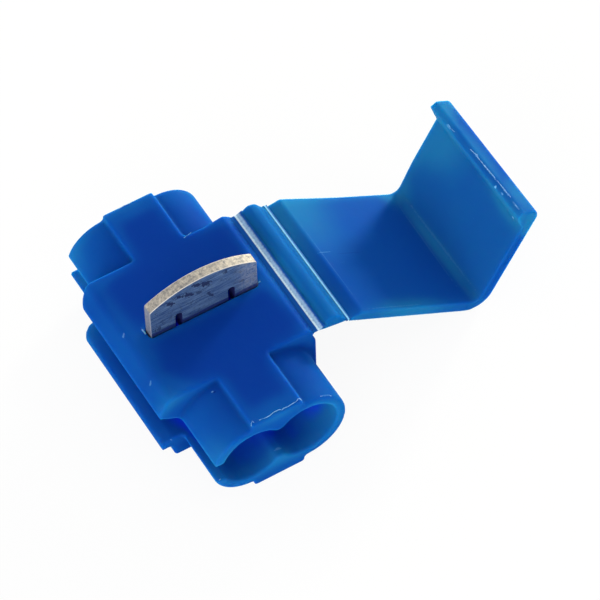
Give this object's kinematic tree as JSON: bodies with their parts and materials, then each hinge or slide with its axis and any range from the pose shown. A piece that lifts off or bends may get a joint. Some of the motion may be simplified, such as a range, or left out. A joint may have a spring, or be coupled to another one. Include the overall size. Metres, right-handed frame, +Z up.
{
  "type": "quick-splice tap connector",
  "caption": "In-line quick-splice wire connector with joined round hoods, a slotted contact blade pressed in from above and a hinged snap-over cover, shown open.",
  "frame": {"origin": "centre of the housing's underside, on the bottom rib midway between the two hoods", "axes": "+X across the housing towards the open cover, +Y along the wires towards the end that is closed for the tap wire, +Z up"},
  "size_m": [0.0366, 0.025, 0.0134],
  "materials": {
    "housing_plastic": "satin translucent polypropylene",
    "hinge_plastic": "satin translucent polypropylene",
    "cover_plastic": "satin translucent polypropylene",
    "plated_contact": "dull tin plating over brass"
  },
  "bodies": {
    "housing": {"wire_housing": "housing_plastic"},
    "strap": {"hinge_strap": "hinge_plastic"},
    "cover": {"locking_cover": "cover_plastic"},
    "contact": {"contact_blade": "plated_contact"}
  },
  "joints": [
    {"name": "strap_fold", "type": "hinge", "parent": "housing", "child": "strap", "pos_m": [0.0072, 0, 0.00815], "axis": [0, -1, 0], "range_deg": [0, 118]},
    {"name": "cover_fold", "type": "hinge", "parent": "strap", "child": "cover", "pos_m": [0.01015, 0, 0.00745], "axis": [0, -1, 0], "range_deg": [0, 91]},
    {"name": "contact_press", "type": "slide", "parent": "housing", "child": "contact", "axis": [0, 0, 1], "range_m": [-0.00475, 0]}
  ],
  "couplings": [
    {"joint": "cover_fold", "follows": "contact_press", "rad_per_m": -334.3}
  ]
}
